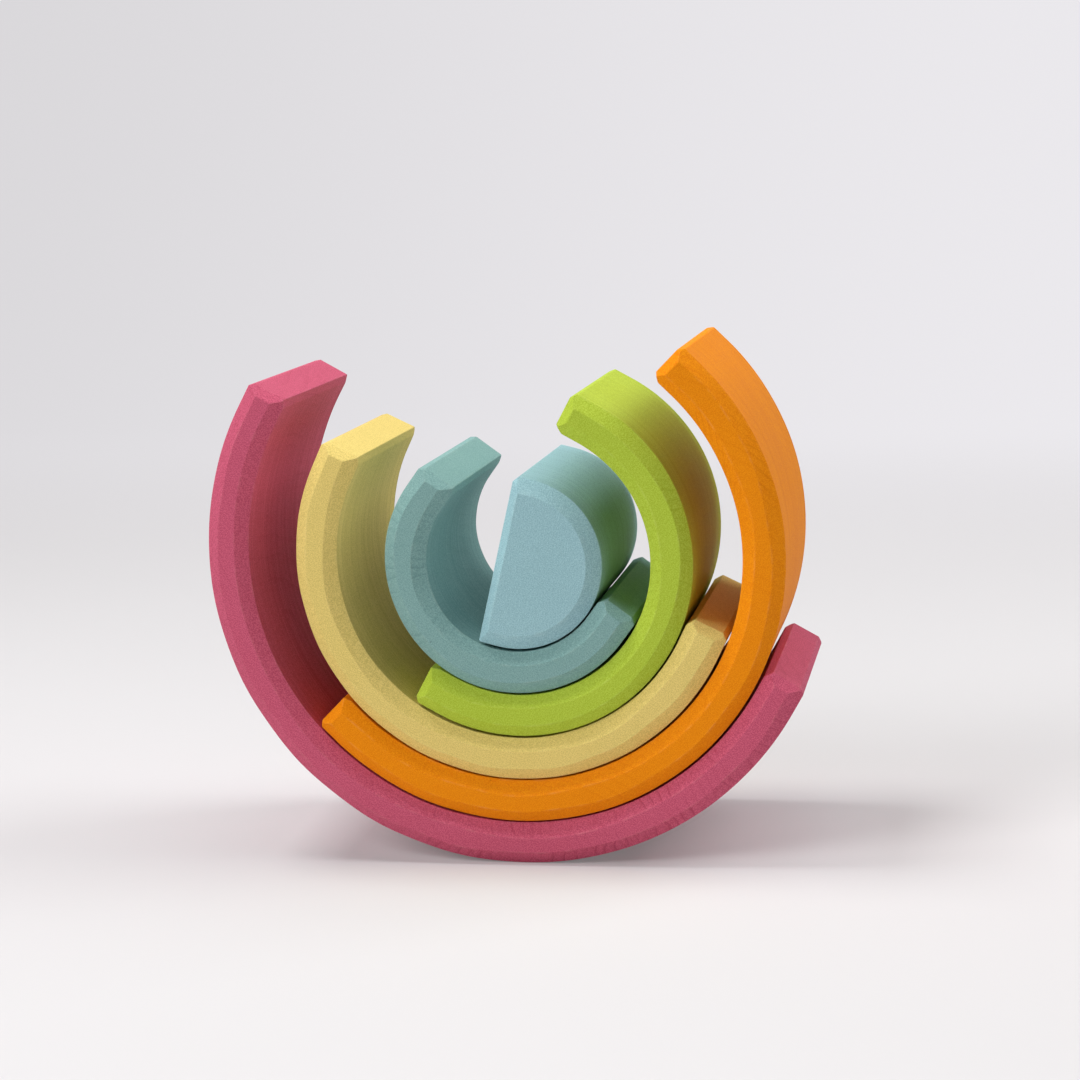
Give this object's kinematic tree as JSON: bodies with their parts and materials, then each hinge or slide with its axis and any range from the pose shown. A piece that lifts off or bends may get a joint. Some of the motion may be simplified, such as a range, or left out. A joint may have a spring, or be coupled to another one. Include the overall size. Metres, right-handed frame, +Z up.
{
  "type": "rainbow stacker",
  "caption": "Wooden rainbow stacking toy: nested bevelled arches and a half-round core, piled as open cradles that swing inside each other.",
  "frame": {"origin": "on the floor, under the middle of the stack's width and depth", "axes": "+X to the right across the arches, +Y to the back along the depth of the pieces, +Z up"},
  "size_m": [0.1614, 0.068, 0.1395],
  "materials": {
    "pink_arch": "matt water-based stain, sanded grain showing",
    "orange_arch": "matt water-based stain, sanded grain showing",
    "yellow_arch": "matt water-based stain, sanded grain showing",
    "green_arch": "matt water-based stain, sanded grain showing",
    "teal_arch": "matt water-based stain, sanded grain showing",
    "blue_core": "matt water-based stain, sanded grain showing"
  },
  "bodies": {
    "pink": {"pink_arch": "pink_arch"},
    "orange": {"orange_arch": "orange_arch"},
    "yellow": {"yellow_arch": "yellow_arch"},
    "green": {"green_arch": "green_arch"},
    "teal": {"teal_arch": "teal_arch"},
    "core": {"blue_core": "blue_core"}
  },
  "joints": [
    {"name": "orange_swing", "type": "hinge", "parent": "pink", "child": "orange", "pos_m": [0.00427, 0, 0.085], "axis": [0, -1, 0], "range_deg": [-90, 15]},
    {"name": "yellow_swing", "type": "hinge", "parent": "orange", "child": "yellow", "pos_m": [0.00432, 0, 0.0845], "axis": [0, -1, 0], "range_deg": [-30, 85]},
    {"name": "green_swing", "type": "hinge", "parent": "yellow", "child": "green", "pos_m": [0.00432, 0, 0.084], "axis": [0, -1, 0], "range_deg": [-115, 5]},
    {"name": "teal_swing", "type": "hinge", "parent": "green", "child": "teal", "pos_m": [0.00461, 0, 0.08359], "axis": [0, -1, 0], "range_deg": [-20, 90]},
    {"name": "core_slide", "type": "slide", "parent": "teal", "child": "core", "axis": [0, -1, 0], "range_m": [-0.03, 0.03]}
  ]
}
